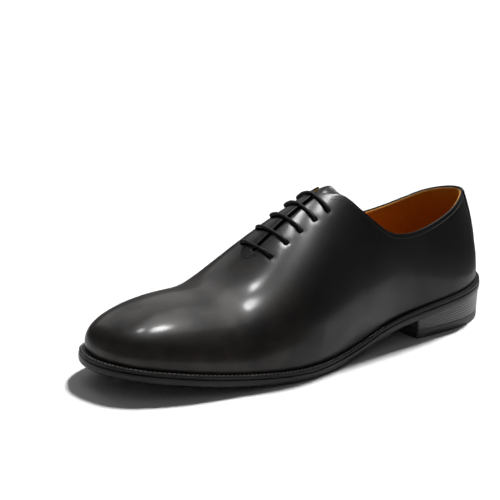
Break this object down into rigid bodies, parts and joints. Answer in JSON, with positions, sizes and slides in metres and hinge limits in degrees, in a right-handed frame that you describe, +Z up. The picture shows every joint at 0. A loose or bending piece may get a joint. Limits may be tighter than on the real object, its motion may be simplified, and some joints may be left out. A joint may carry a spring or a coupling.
{
  "type": "leather oxford shoe",
  "caption": "Black leather oxford shoe for the left foot, plain vamp, closed laced throat, welt and stacked heel.",
  "frame": {"origin": "centre of the shoe's box in plan, on the floor that heel and forefoot stand on", "axes": "+Y along the shoe from heel to toe, +X to the inner side of the left foot, +Z up"},
  "size_m": [0.0996, 0.302, 0.0977],
  "materials": {
    "upper_leather": "burnished black, soft gloss",
    "tongue_leather": "black, soft gloss",
    "sock_leather": "tan, matt",
    "welt_leather": "black, satin",
    "sole_leather": "black edge, satin",
    "heel_stack": "black, ribbed, satin",
    "top_piece_rubber": "black, matt",
    "lace_cord": "black waxed round lace"
  },
  "bodies": {
    "root": {"upper": "upper_leather", "back_strip": "upper_leather", "tongue": "tongue_leather", "insole": "sock_leather", "welt": "welt_leather", "outsole": "sole_leather", "heel": "heel_stack", "top_piece": "top_piece_rubber", "lace_bar_1": "lace_cord", "lace_bar_2": "lace_cord", "lace_bar_3": "lace_cord", "lace_bar_4": "lace_cord", "lace_bar_5": "lace_cord"}
  },
  "joints": []
}
